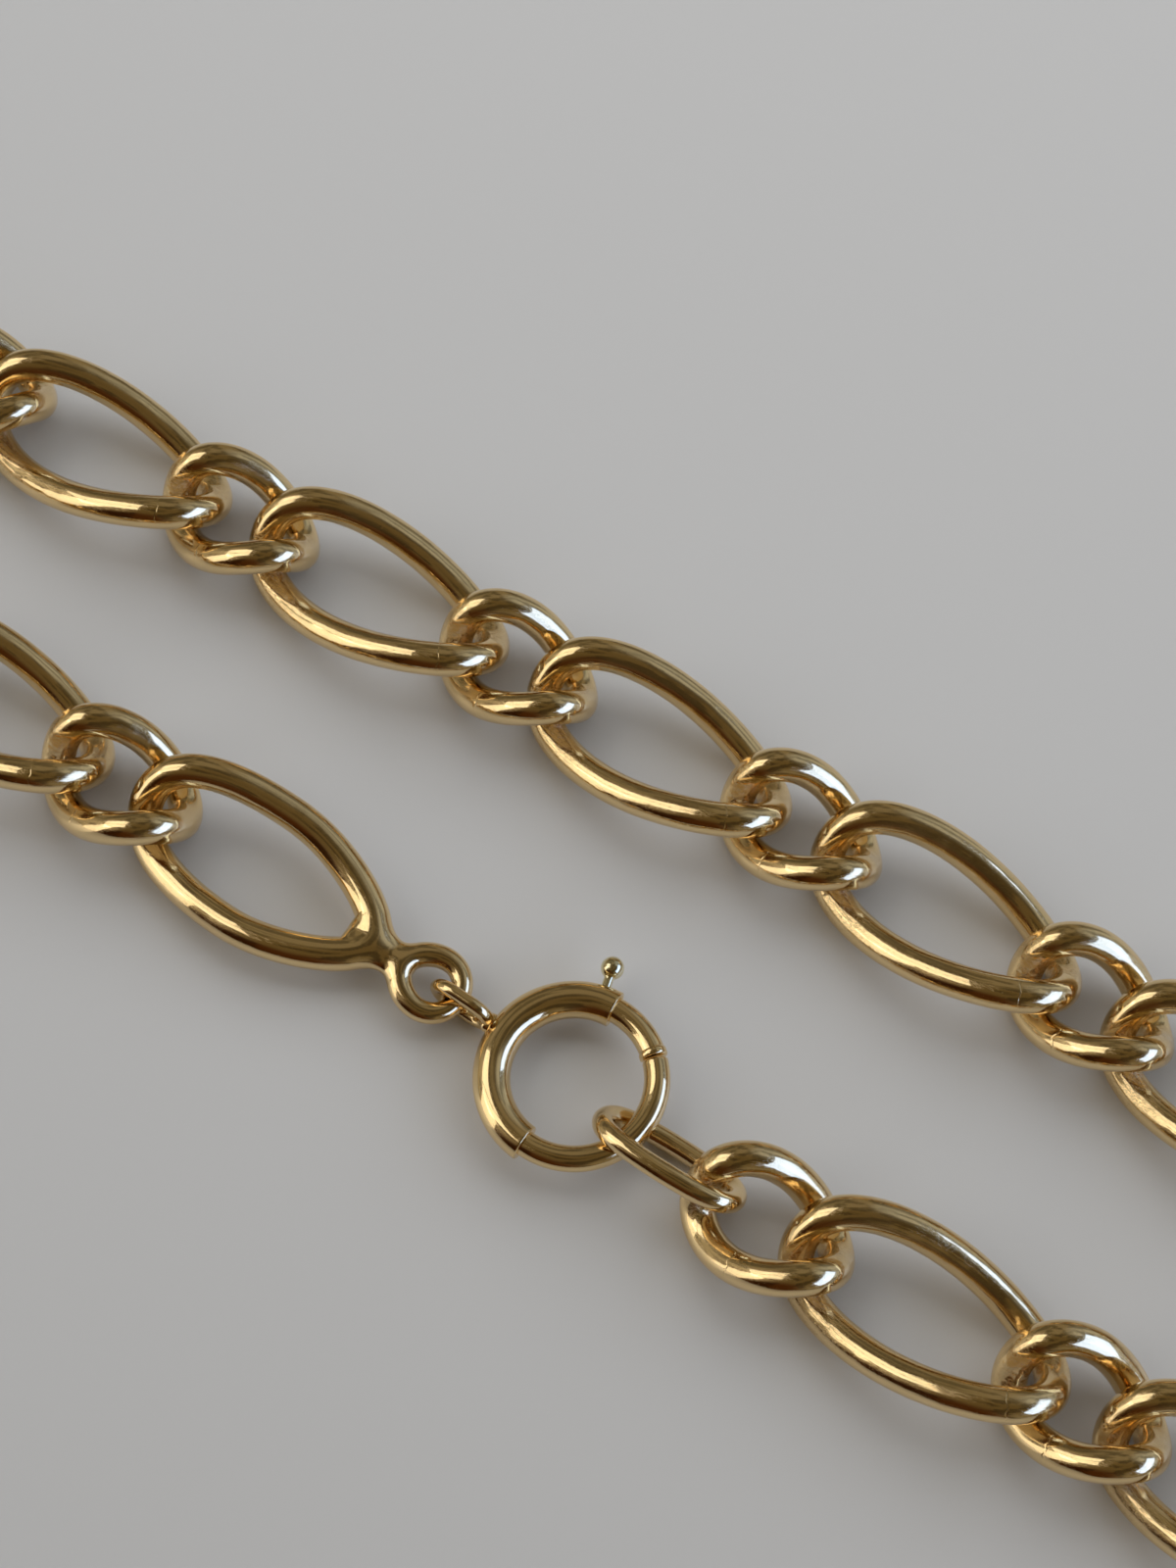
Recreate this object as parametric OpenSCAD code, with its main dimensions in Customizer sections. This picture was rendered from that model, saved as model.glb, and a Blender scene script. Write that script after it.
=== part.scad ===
// Link bracelet: a curb chain of long and short links in turn, closed by a bolt ring.
// It lies on a surface at z = 0 as a long loop. The upper strand runs along X, and the
// lower strand, on the -Y side, carries the clasp. Sizes are in millimetres.

/* [Chain] */
// Diameter of the links' wire
link_wire_d = 1.4; // [1.2:0.05:1.5]
// Slack in each joint, measured along the chain
joint_play = 0.27; // [0.22:0.01:0.5]

/* [Long links] */
// Outer length of a long link
long_len = 12.3; // [11.8:0.1:12.8]
// Outer width of a long link
long_w = 6.5; // [6.2:0.1:7]
// Twist of a long link from its middle to each end, in degrees
long_twist = 44; // [38:1:50]
// Fullness of a long link's rounded ends, 0 for a plain oval
long_full = 0.04; // [0:0.01:0.08]

/* [Short links] */
// Outer length of a short link
short_len = 7.4; // [7:0.1:7.8]
// Outer width of a short link
short_w = 5.6; // [5.3:0.1:6]
// Twist of a short link from its middle to each end, in degrees
short_twist = 55; // [48:1:60]
// Fullness of a short link's rounded ends, 0 for a plain oval
short_full = 0.04; // [0:0.01:0.08]

/* [End link] */
// Fullness of the end link at its clasp end, below 0 for a pointed oval
end_full = -0.03; // [-0.05:0.01:0.02]
// Outer diameter of the end ring
end_ring_d = 3.2; // [3:0.05:3.6]
// Diameter of the end ring's wire
end_ring_wire_d = 0.84; // [0.6:0.02:0.9]
// Length of the neck between the end link and its end ring
neck_len = 0.68; // [0.4:0.02:1.2]
// Diameter of the neck
neck_d = 1.2; // [0.9:0.05:1.4]

/* [Bolt ring] */
// Outer diameter of the bolt ring
ring_d = 8; // [7.8:0.1:8.4]
// Outer diameter of the fat tube that holds the bolt
fat_d = 1.5; // [1.4:0.02:1.7]
// Outer diameter of the thin tube
thin_d = 1.04; // [0.9:0.02:1.1]
// Angle of the fat tube's mouth, counter-clockwise from +X
mouth_at = 91; // [88:1:94]
// Angle of the fat tube's closed end
fat_end_at = 265; // [255:1:275]
// Angle of the thin tube's tip, where the bolt meets it
tip_at = 44; // [42:1:50]
// Height of the upright eye
eye_h = 2.3; // [2.2:0.05:2.5]
// How far the eye stands out from the fat tube
eye_out = 2.9; // [2.8:0.05:3.2]
// Diameter of the eye's wire
eye_wire_d = 0.56; // [0.5:0.02:0.6]
// Diameter of the bead of solder that holds the eye
solder_d = 0.9; // [0.7:0.05:1.2]

/* [Bolt] */
// Diameter of the bolt
bolt_d = 1.04; // [0.96:0.02:1.06]
// Gap all round between the bolt and its bore
bolt_clearance = 0.05; // [0.04:0.01:0.08]
// Gap between the bolt's tip and the thin tube
seat_gap = 0.08; // [0.04:0.01:0.12]
// Diameter of the collar at the bolt's tip
collar_d = 1.14; // [1.1:0.02:1.2]
// Length of the collar
collar_len = 0.33; // [0.2:0.01:0.5]
// How far the bolt slides back round the ring, in degrees
travel = 35; // [30:1:38]
// Angle of the knob on the ring, with the bolt closed
knob_at = 102.5; // [101:0.5:105]
// Diameter of the ball knob
knob_d = 0.94; // [0.8:0.02:1.1]
// Distance of the ball's centre outside the fat tube
knob_out = 0.82; // [0.7:0.02:1]
// Diameter of the knob's stem
stem_d = 0.4; // [0.3:0.02:0.44]
// Gap all round between the stem and its slot
slot_clearance = 0.06; // [0.04:0.01:0.1]

/* [Connector link] */
// Outer length of the connector link
connector_len = 6.8; // [6.6:0.1:7.2]
// Outer width of the connector link
connector_w = 3.95; // [3.9:0.05:4.2]
// Diameter of the connector link's wire
connector_wire_d = 0.86; // [0.8:0.02:0.88]
// Fullness of the connector link's rounded ends, 0 for a plain oval
connector_full = 0.04; // [0:0.01:0.08]
// Slack where the connector link holds the bolt ring
ring_play = 0.37; // [0.3:0.01:0.45]

/* [How it lies] */
// Distance between the two strands
strand_gap = 13; // [12.9:0.02:13.1]
// Distance of the end link's middle behind that of the upper strand's middle link
clasp_shift = 11; // [10.9:0.02:11.1]
// Tilt of the bolt ring, its connector side up
ring_tilt = 3; // [2:0.25:3.5]

/* [Hidden] */
// Rings of corners round a link and corners round its wire
stations = 16;
wire_sides = 6;
// Fineness of curved solids
$fn = 48;

// Shape of a link: half length and half width of its wire's centre line, twist law
// [constant, linear, square] along the link, and fullness at its left and right end
long_shape = [(long_len - link_wire_d) / 2, (long_w - link_wire_d) / 2,
              [0, -long_twist, 0], long_full, long_full];
short_shape = [(short_len - link_wire_d) / 2, (short_w - link_wire_d) / 2,
               [0, -short_twist, 0], short_full, short_full];
end_shape = [long_shape[0], long_shape[1], [1, -2, 1] * long_twist / 4, long_full, end_full];
connector_shape = [(connector_len - connector_wire_d) / 2, (connector_w - connector_wire_d) / 2,
                   [0, 0, 0], connector_full, connector_full];

// How each link lies turned from the line of its strand, and how the upper strand bows
long_swing = -2;
short_swing = -5;
upper_bow = -0.87;
// The clasp's headings: end link, end ring to bolt ring, bolt ring to connector link,
// connector link itself, connector link to the last short link, and that link's strand
end_heading = -2.6;
clasp_heading = -3.6;
connector_at = -10.5;
connector_heading = -2;
tail_heading = -2.8;
last_heading = 1.7;
last_bow = -0.8;
// The connector link leans, its -Y side up, and its bolt ring end is a little lower
connector_roll = -55;
connector_pitch = 2;

// The loop's two turns, where the chain runs out of sight, from link to link: short, long,
// short, long, short. A row is [x, y, heading, roll, lift above its rest, pitch], measured
// from the upper strand's middle link. The chain's route keeps these few chosen places.
turn_left = [
    [-30.9, -13.4, 200, -5, 0.02, 1],
    [-37.3, -13.1, 161, -6, 0, -2],
    [-42.3, -9.6, 104, 2, 0, -9],
    [-39.3, -4.3, 44, 12, 0.13, -5],
    [-33.6, -1.1, 12, 5, 0, -1]];
turn_right = [
    [33.3, -0.6, 22, -2, 0, 1],
    [39.9, -0.2, -12, -4, 0, -2],
    [45.4, -3.1, -62, 0, 0.03, -6],
    [44.4, -9.2, -115, 5, 0, -4],
    [40.4, -14.1, -155, 2, 0, 0]];

// Point of a link's centre line at the angle t round the link
function link_point(shape, t) =
    let(full = cos(t) > 0 ? shape[4] : shape[3],
        x = shape[0] * (cos(t) - full * cos(3 * t)) / (1 - full),
        y = shape[1] * (sin(t) + full * sin(3 * t)) / (1 - full),
        lean = link_lean(shape, x))
    [x, y * cos(lean), y * sin(lean)];

// Lean of the link's plane at the distance x along it, from its twist law
function link_lean(shape, x) =
    let(u = x / shape[0]) shape[2] * [1, u, u * u];

function unit(v) = v / norm(v);

// Corner number j of the wire's cross-section at the angle t
function wire_corner(shape, wire_d, t, j) =
    let(along = unit(link_point(shape, t + 1) - link_point(shape, t - 1)),
        lean = link_lean(shape, link_point(shape, t)[0]),
        side = unit(cross(along, [0, -sin(lean), cos(lean)])),
        up = cross(side, along),
        turn = j * 360 / wire_sides)
    link_point(shape, t) + wire_d / 2 * (cos(turn) * up + sin(turn) * side);

function wire_corners(shape, wire_d) =
    [for (i = [0 : stations - 1], j = [0 : wire_sides - 1])
        wire_corner(shape, wire_d, i * 360 / stations, j)];

// A point of a link rolled about its length, pitched up and turned to its heading
function posed(p, heading, roll, pitch) =
    let(side = cos(roll) * p[1] - sin(roll) * p[2],
        up = sin(roll) * p[1] + cos(roll) * p[2],
        along = cos(pitch) * p[0] - sin(pitch) * up)
    [cos(heading) * along - sin(heading) * side,
     sin(heading) * along + cos(heading) * side,
     sin(pitch) * p[0] + cos(pitch) * up];

// Height of a link's middle when the wire's lowest point rests on the surface
function rest_height(shape, wire_d, roll, pitch) =
    wire_d / 2 - min([for (t = [0 : 5 : 355]) posed(link_point(shape, t), 0, roll, pitch)[2]]);

// Strands. A spot is [x, y, heading of the strand's line].
function ahead(spot, distance) =
    [spot[0] + distance * cos(spot[2]), spot[1] + distance * sin(spot[2]), spot[2]];
function turned(spot, angle) = [spot[0], spot[1], spot[2] + angle];

// From a link's middle to the joint with the next link
function reach(is_long) = (is_long ? long_len : short_len) / 2 - link_wire_d - joint_play / 2;

// Spot of the link that is k links along from the spot of a first link, backwards below 0
function along_strand(spot, is_long, k, bow) =
    k == 0 ? spot
    : let(step = sign(k))
      along_strand(ahead(turned(ahead(spot, step * reach(is_long)), step * bow),
                         step * reach(!is_long)), !is_long, k - step, bow);

// A link's place is [x, y, heading, roll, lift, pitch]
function flat_place(spot, is_long) =
    [spot[0], spot[1], spot[2] + (is_long ? long_swing : short_swing), 0, 0, 0];

// End link: pitched so that its end ring lies at the middle of the eye
end_spot = [-clasp_shift, -strand_gap, 0];
end_ring_x = long_len / 2 + neck_len + end_ring_d / 2;
function settled_pitch(pitch, steps) =
    steps == 0 ? pitch
    : settled_pitch(asin((eye_h / 2 - rest_height(end_shape, link_wire_d, 0, pitch)) / end_ring_x),
                    steps - 1);
end_pitch = settled_pitch(0, 8);
end_height = rest_height(end_shape, link_wire_d, 0, end_pitch);
end_ring_spot = ahead(turned(end_spot, end_heading), end_ring_x * cos(end_pitch));

// Bolt ring: its eye's far wire lies in the end ring's hole
tube_r = (ring_d - fat_d) / 2;
eye_reach = ring_d / 2 + eye_out;
eye_arc_x = eye_reach - eye_h / 2;
ring_spot = ahead(turned(end_ring_spot, clasp_heading - end_heading),
                  eye_reach - eye_wire_d - joint_play + end_ring_d / 2 - end_ring_wire_d);
eye_at = 180 + clasp_heading;
ring_height = eye_h / 2 + eye_arc_x * sin(ring_tilt) * cos(clasp_heading - connector_at);

// Connector link and the last short link
connector_spot = ahead(turned(ring_spot, connector_at - clasp_heading),
                       tube_r + (connector_len - thin_d) / 2 - connector_wire_d - ring_play);
connector_height = rest_height(connector_shape, connector_wire_d, connector_roll, connector_pitch);
last_spot = turned(ahead(turned(connector_spot, tail_heading - connector_at),
                         (connector_len + short_len) / 2 - connector_wire_d - link_wire_d - joint_play),
                   last_heading - tail_heading);

// Places of all the plain links, from the end link round the loop to the connector link.
// Short links have even numbers in this list and long links odd ones.
chain = concat(
    [for (k = [-1 : -1 : -2]) flat_place(along_strand(end_spot, true, k, 0), k % 2 == 0)],
    turn_left,
    [for (k = [-4 : 4]) flat_place(along_strand([0, 0, 0], true, k, upper_bow), k % 2 == 0)],
    turn_right,
    [for (k = [3 : -1 : 0]) flat_place(along_strand(last_spot, false, k, last_bow), k % 2 != 0)]);
function is_long(i) = i % 2 == 1;
function shape_of(i) = is_long(i) ? long_shape : short_shape;
function two_digits(n) = str(n < 10 ? "0" : "", n);
function link_name(i) = str(is_long(i) ? "long_link_" : "short_link_", two_digits(floor(i / 2) + 1));

// The part's origin lies under the middle of the whole loop
corners = [for (i = [0 : len(chain) - 1], p = wire_corners(shape_of(i), link_wire_d))
    let(place = chain[i]) [place[0], place[1], 0] + posed(p, place[2], place[3], place[5])];
middle = [for (axis = [0, 1])
    (min([for (p = corners) p[axis]]) + max([for (p = corners) p[axis]])) / 2];

// Degrees round the ring for a length along the tube's centre line
function ring_angle(length) = length / tube_r * 180 / PI;

// Bolt and its bore
bore_d = bolt_d + 2 * bolt_clearance;
bolt_tip_at = tip_at + ring_angle(seat_gap);
// Lengths along the ring that the photograph hides: the bolt's tail behind the knob, the
// plug that closes the bore, and how far the thin tube is let into that plug
bolt_tail = 0.75;
plug_len = 0.55;
let_in = 0.35;
slot_w = stem_d + 2 * slot_clearance;
knob_r = ring_d / 2 + knob_out;

gold = [0.86, 0.67, 0.36];
pale_gold = [0.84, 0.76, 0.52];

// A closed loop of wire along a link's centre line
module wire_loop(shape, wire_d) {
    polyhedron(wire_corners(shape, wire_d),
        [for (i = [0 : stations - 1], j = [0 : wire_sides - 1])
            let(next_i = (i + 1) % stations,
                next_j = (j + 1) % wire_sides,
                a = i * wire_sides + j,
                b = i * wire_sides + next_j,
                c = next_i * wire_sides + next_j,
                d = next_i * wire_sides + j)
            each [[a, c, b], [a, d, c]]]);
}

// A bent rod round the ring between two angles
module ring_rod(d, from, to) {
    rotate_extrude(start = from, angle = to - from) translate([tube_r, 0]) circle(d = d);
}

// Moves what is drawn round the ring's own centre to where the ring lies
module at_ring() {
    translate([ring_spot[0], ring_spot[1], ring_height])
        rotate([0, 0, connector_at]) rotate([0, -ring_tilt, 0]) rotate([0, 0, -connector_at])
            children();
}

// Moves the whole loop over the origin
module laid_out() {
    translate([-middle[0], -middle[1], 0]) children();
}

module chain_link(i) {
    place = chain[i];
    height = rest_height(shape_of(i), link_wire_d, place[3], place[5]) + place[4];
    color(gold)
        translate([place[0], place[1], height]) rotate([place[3], -place[5], place[2]])
            wire_loop(shape_of(i), link_wire_d);
}

// Long link that loses its twist towards the clasp, with a neck and a flat end ring
module end_link() {
    end_ring_r = (end_ring_d - end_ring_wire_d) / 2;
    neck_from = long_shape[0];
    neck_to = end_ring_x - end_ring_r;
    color(gold)
        translate([end_spot[0], end_spot[1], end_height]) rotate([0, -end_pitch, end_heading]) {
            wire_loop(end_shape, link_wire_d);
            translate([neck_from, 0, 0]) rotate([0, 90, 0])
                cylinder(h = neck_to - neck_from, d = neck_d);
            translate([end_ring_x, 0, 0])
                rotate_extrude() translate([end_ring_r, 0]) circle(d = end_ring_wire_d);
        }
}

// Plain oval link between the bolt ring and the last short link
module connector_link() {
    color(gold)
        translate([connector_spot[0], connector_spot[1], connector_height])
            rotate([connector_roll, -connector_pitch, connector_heading])
                wire_loop(connector_shape, connector_wire_d);
}

// Upright eye that stands out from the fat tube along +X: two arcs joined by two legs
module eye() {
    arc_r = (eye_h - eye_wire_d) / 2;
    near_x = ring_d / 2 - (fat_d - bore_d) / 2 + eye_h / 2;
    for (end = [[eye_arc_x, -90], [near_x, 90]])
        translate([end[0], 0, 0]) rotate([90, 0, 0])
            rotate_extrude(start = end[1], angle = 180) translate([arc_r, 0]) circle(d = eye_wire_d);
    for (side = [-1, 1])
        translate([near_x, 0, side * arc_r]) rotate([0, 90, 0])
            cylinder(h = eye_arc_x - near_x, d = eye_wire_d);
}

// Slot in the outside of the fat tube, in which the knob's stem slides
module slot() {
    half_w = ring_angle(slot_w / 2);
    rotate_extrude(start = knob_at - half_w, angle = travel + 2 * half_w)
        translate([tube_r, -slot_w / 2]) square([fat_d, slot_w]);
}

module bolt_ring() {
    bore_to = fat_end_at - ring_angle(plug_len);
    color(gold) at_ring() {
        difference() {
            union() {
                ring_rod(fat_d, mouth_at, fat_end_at);
                rotate([0, 0, eye_at]) {
                    eye();
                    translate([ring_d / 2, 0, 0]) sphere(d = solder_d);
                }
            }
            ring_rod(bore_d, mouth_at - ring_angle(fat_d), bore_to);
            slot();
        }
        ring_rod(thin_d, fat_end_at - ring_angle(let_in), 360 + tip_at);
    }
}

// Bolt that slides in the fat tube, with its collar, stem and ball knob
module bolt() {
    color(pale_gold) at_ring() {
        ring_rod(bolt_d, bolt_tip_at, knob_at + ring_angle(bolt_tail));
        ring_rod(collar_d, bolt_tip_at, bolt_tip_at + ring_angle(collar_len));
        rotate([0, 0, knob_at]) {
            translate([tube_r, 0, 0]) rotate([0, 90, 0]) cylinder(h = knob_r - tube_r, d = stem_d);
            translate([knob_r, 0, 0]) sphere(d = knob_d);
        }
    }
}

laid_out() bolt_ring();
laid_out() bolt();
laid_out() connector_link();
laid_out() end_link();
for (i = [0 : len(chain) - 1])
    laid_out() chain_link(i);
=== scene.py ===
"""A gold link bracelet, closed by its bolt ring, lying as a long loop on a pale, glossy table.

The scene follows the bracelet as it is put together: the chain's links, the end link with its
ring, the connector link, the bolt ring and its bolt, and then the table, the light and the camera.
The bracelet's lengths are in millimetres, and places along the clasp's ring are in degrees.
"""

import bmesh
import bpy
import numpy as np
from mathutils import Matrix, Vector


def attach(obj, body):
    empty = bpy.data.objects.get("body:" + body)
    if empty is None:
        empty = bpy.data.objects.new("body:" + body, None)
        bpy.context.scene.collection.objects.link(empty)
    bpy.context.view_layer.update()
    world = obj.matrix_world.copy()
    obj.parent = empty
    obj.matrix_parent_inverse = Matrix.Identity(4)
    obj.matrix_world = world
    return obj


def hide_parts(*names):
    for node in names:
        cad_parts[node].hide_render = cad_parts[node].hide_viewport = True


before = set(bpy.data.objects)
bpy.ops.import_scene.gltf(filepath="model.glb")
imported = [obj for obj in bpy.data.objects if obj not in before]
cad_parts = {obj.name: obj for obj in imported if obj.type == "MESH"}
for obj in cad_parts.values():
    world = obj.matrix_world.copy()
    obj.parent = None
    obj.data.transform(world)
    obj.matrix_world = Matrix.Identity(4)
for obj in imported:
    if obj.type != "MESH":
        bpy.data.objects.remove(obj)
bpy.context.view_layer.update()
MM = 0.001


# Long links
# A long link is one loop of round gold wire, soldered shut and twisted so that its two ends
# stand on opposite slants. That twist lets the chain lie flat. Each is closed round its neighbours.

LINK_WIRE = 1.4
LONG_LEN = 12.3
LONG_W = 6.5
LONG_TWIST = 44.0
LINK_FULL = 0.04
LONG_STATIONS = 240
WIRE_SIDES = 40
# Corners closer than this, in metres, are one
SAME_PLACE = 2e-8


def round_angles(count):
    """Equal steps round a full turn, in radians."""
    return np.arange(count) * 2 * np.pi / count


def link_route(half_len, half_w, lean, full_left, full_right, stations):
    """Centre line of a link: a rounded oval, x = half length times (cos t - f cos 3t) / (1 - f) and
    y = half width times (sin t + f sin 3t) / (1 - f), whose y axis then leans by lean(x / half length)."""
    t = round_angles(stations)
    full = np.where(np.cos(t) > 0, full_right, full_left)
    x = half_len * (np.cos(t) - full * np.cos(3 * t)) / (1 - full)
    y = half_w * (np.sin(t) + full * np.sin(3 * t)) / (1 - full)
    angle = np.radians(lean(x / half_len))
    points = np.stack([x, y * np.cos(angle), y * np.sin(angle)], axis=1)
    normals = np.stack([0 * x, -np.sin(angle), np.cos(angle)], axis=1)
    return points, normals


def unit(vectors):
    return vectors / np.linalg.norm(vectors, axis=-1, keepdims=True)


def closed_tube(points, normals, radius, sides):
    """A round wire along a closed path. Each ring is the point plus radius times
    (cos s times the up vector + sin s times the side vector), square to the path."""
    along = unit(np.roll(points, -1, 0) - np.roll(points, 1, 0))
    side = unit(np.cross(along, normals))
    up = np.cross(side, along)
    s = round_angles(sides)
    ring = up[:, None] * np.cos(s)[None, :, None] + side[:, None] * np.sin(s)[None, :, None]
    return points[:, None] + np.broadcast_to(radius, len(points))[:, None, None] * ring


def grid_faces(rows, columns, rows_close):
    """Four-cornered faces between neighbouring rows and columns of a grid of corners. The columns go
    all the way round, and the rows do where they close."""
    i, j = np.meshgrid(np.arange(rows if rows_close else rows - 1), np.arange(columns), indexing="ij")
    a = i * columns + j
    b = i * columns + (j + 1) % columns
    c = (i + 1) % rows * columns + (j + 1) % columns
    d = (i + 1) % rows * columns + j
    return np.stack([a, d, c, b], axis=-1).reshape(-1, 4)


def new_piece(name, corners, faces, finish, body, node, wrap=None):
    """A smooth mesh object that rides a body, takes a finish and stands for a CAD node. Corners that
    meet at a pole become one, and its faces point outwards."""
    mesh = bpy.data.meshes.new(name)
    mesh.from_pydata((corners * MM).tolist(), [], faces.tolist())
    mesh.polygons.foreach_set("use_smooth", np.ones(len(mesh.polygons), bool))
    if wrap is not None:
        layer = mesh.uv_layers.new(name="wrap")
        layer.data.foreach_set("uv", wrap.reshape(-1).astype(np.float32))
    mesh.materials.append(finish)
    shell = bmesh.new()
    shell.from_mesh(mesh)
    bmesh.ops.remove_doubles(shell, verts=shell.verts, dist=SAME_PLACE)
    bmesh.ops.recalc_face_normals(shell, faces=shell.faces)
    shell.to_mesh(mesh)
    shell.free()
    mesh.update()
    piece = bpy.data.objects.new(name, mesh)
    bpy.context.scene.collection.objects.link(piece)
    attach(piece, body)
    if node:
        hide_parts(node)
    return piece


def tube_wrap(faces, rows, columns, length, girth):
    """UV of a tube in millimetres: u along the path and v round the wire, per corner of each face."""
    row = faces // columns
    column = faces % columns
    row = np.where(row < row.max(axis=1, keepdims=True) - rows // 2, row + rows, row)
    column = np.where(column < column.max(axis=1, keepdims=True) - columns // 2, column + columns, column)
    return np.stack([row * length / rows, column * girth / columns], axis=-1)


def loop_length(points):
    return np.linalg.norm(np.roll(points, -1, 0) - points, axis=1).sum()


def node_frame(node):
    """Where a symmetric loop of wire lies: the mean of its CAD corners, and their principal directions
    as the columns length, width and thickness. Length points to +X, thickness up, right-handed."""
    cad = np.array([corner.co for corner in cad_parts[node].data.vertices]) / MM
    corners = np.unique(np.round(cad, 4), axis=0)
    middle = corners.mean(0)
    _, _, axes = np.linalg.svd(corners - middle, full_matrices=False)
    length = axes[0] * (1 if axes[0][0] > 0 else -1)
    up = axes[2] * (1 if axes[2][2] > 0 else -1)
    return middle, np.stack([length, np.cross(up, length), up], axis=1)


class Value:
    """A shader socket that Python's operators work on: each operator adds one Math node."""

    def __init__(self, tree, socket=None):
        self.tree = tree
        self.socket = socket

    def node(self, kind, settings, sockets, out=0):
        """Adds a node of a type, with its settings and with a value or a link for each socket named."""
        made = self.tree.nodes.new(kind)
        for name, setting in settings.items():
            setattr(made, name, setting)
        for key, given in sockets.items():
            if isinstance(given, Value):
                self.tree.links.new(given.socket, made.inputs[key])
            else:
                made.inputs[key].default_value = given
        return Value(self.tree, made.outputs[out] if len(made.outputs) else None)

    def math(self, operation, first, second):
        return self.node("ShaderNodeMath", {"operation": operation}, {0: first, 1: second})

    def __add__(self, other):
        return self.math("ADD", self, other)

    __radd__ = __add__

    def __sub__(self, other):
        return self.math("SUBTRACT", self, other)

    def __mul__(self, other):
        return self.math("MULTIPLY", self, other)


def eased(value, start, end, first=0.0, last=1.0):
    """Goes smoothly from first to last while the value goes from start to end."""
    return value.node("ShaderNodeMapRange", {"interpolation_type": "SMOOTHSTEP"}, {
        "Value": value, "From Min": start, "From Max": end, "To Min": first, "To Max": last})


def blended(factor, below, above):
    """A colour between two colours. The Mix node has them as sockets 6 and 7, and its colour as 2."""
    return factor.node("ShaderNodeMix", {"data_type": "RGBA"}, {"Factor": factor, 6: below, 7: above}, 2)


# Depths of the gold's wear, where 1 is WEAR_STEP millimetres
WEAR_STEP = 0.025
WAVE_DEPTH = 2.6
GRAIN_DEPTH = 0.012
SCRATCH_DEPTH = 0.016
DENT_DEPTH = 0.14
DRAWN_DEPTH = 0.10
RUBBED_DRAWN_DEPTH = 0.30
CRACK_DEPTH = 0.5
PIT_DEPTH = 1.6
# Scratches are this much deeper where links rub on each other
RUBBED_DEEPER = 7.0


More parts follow.
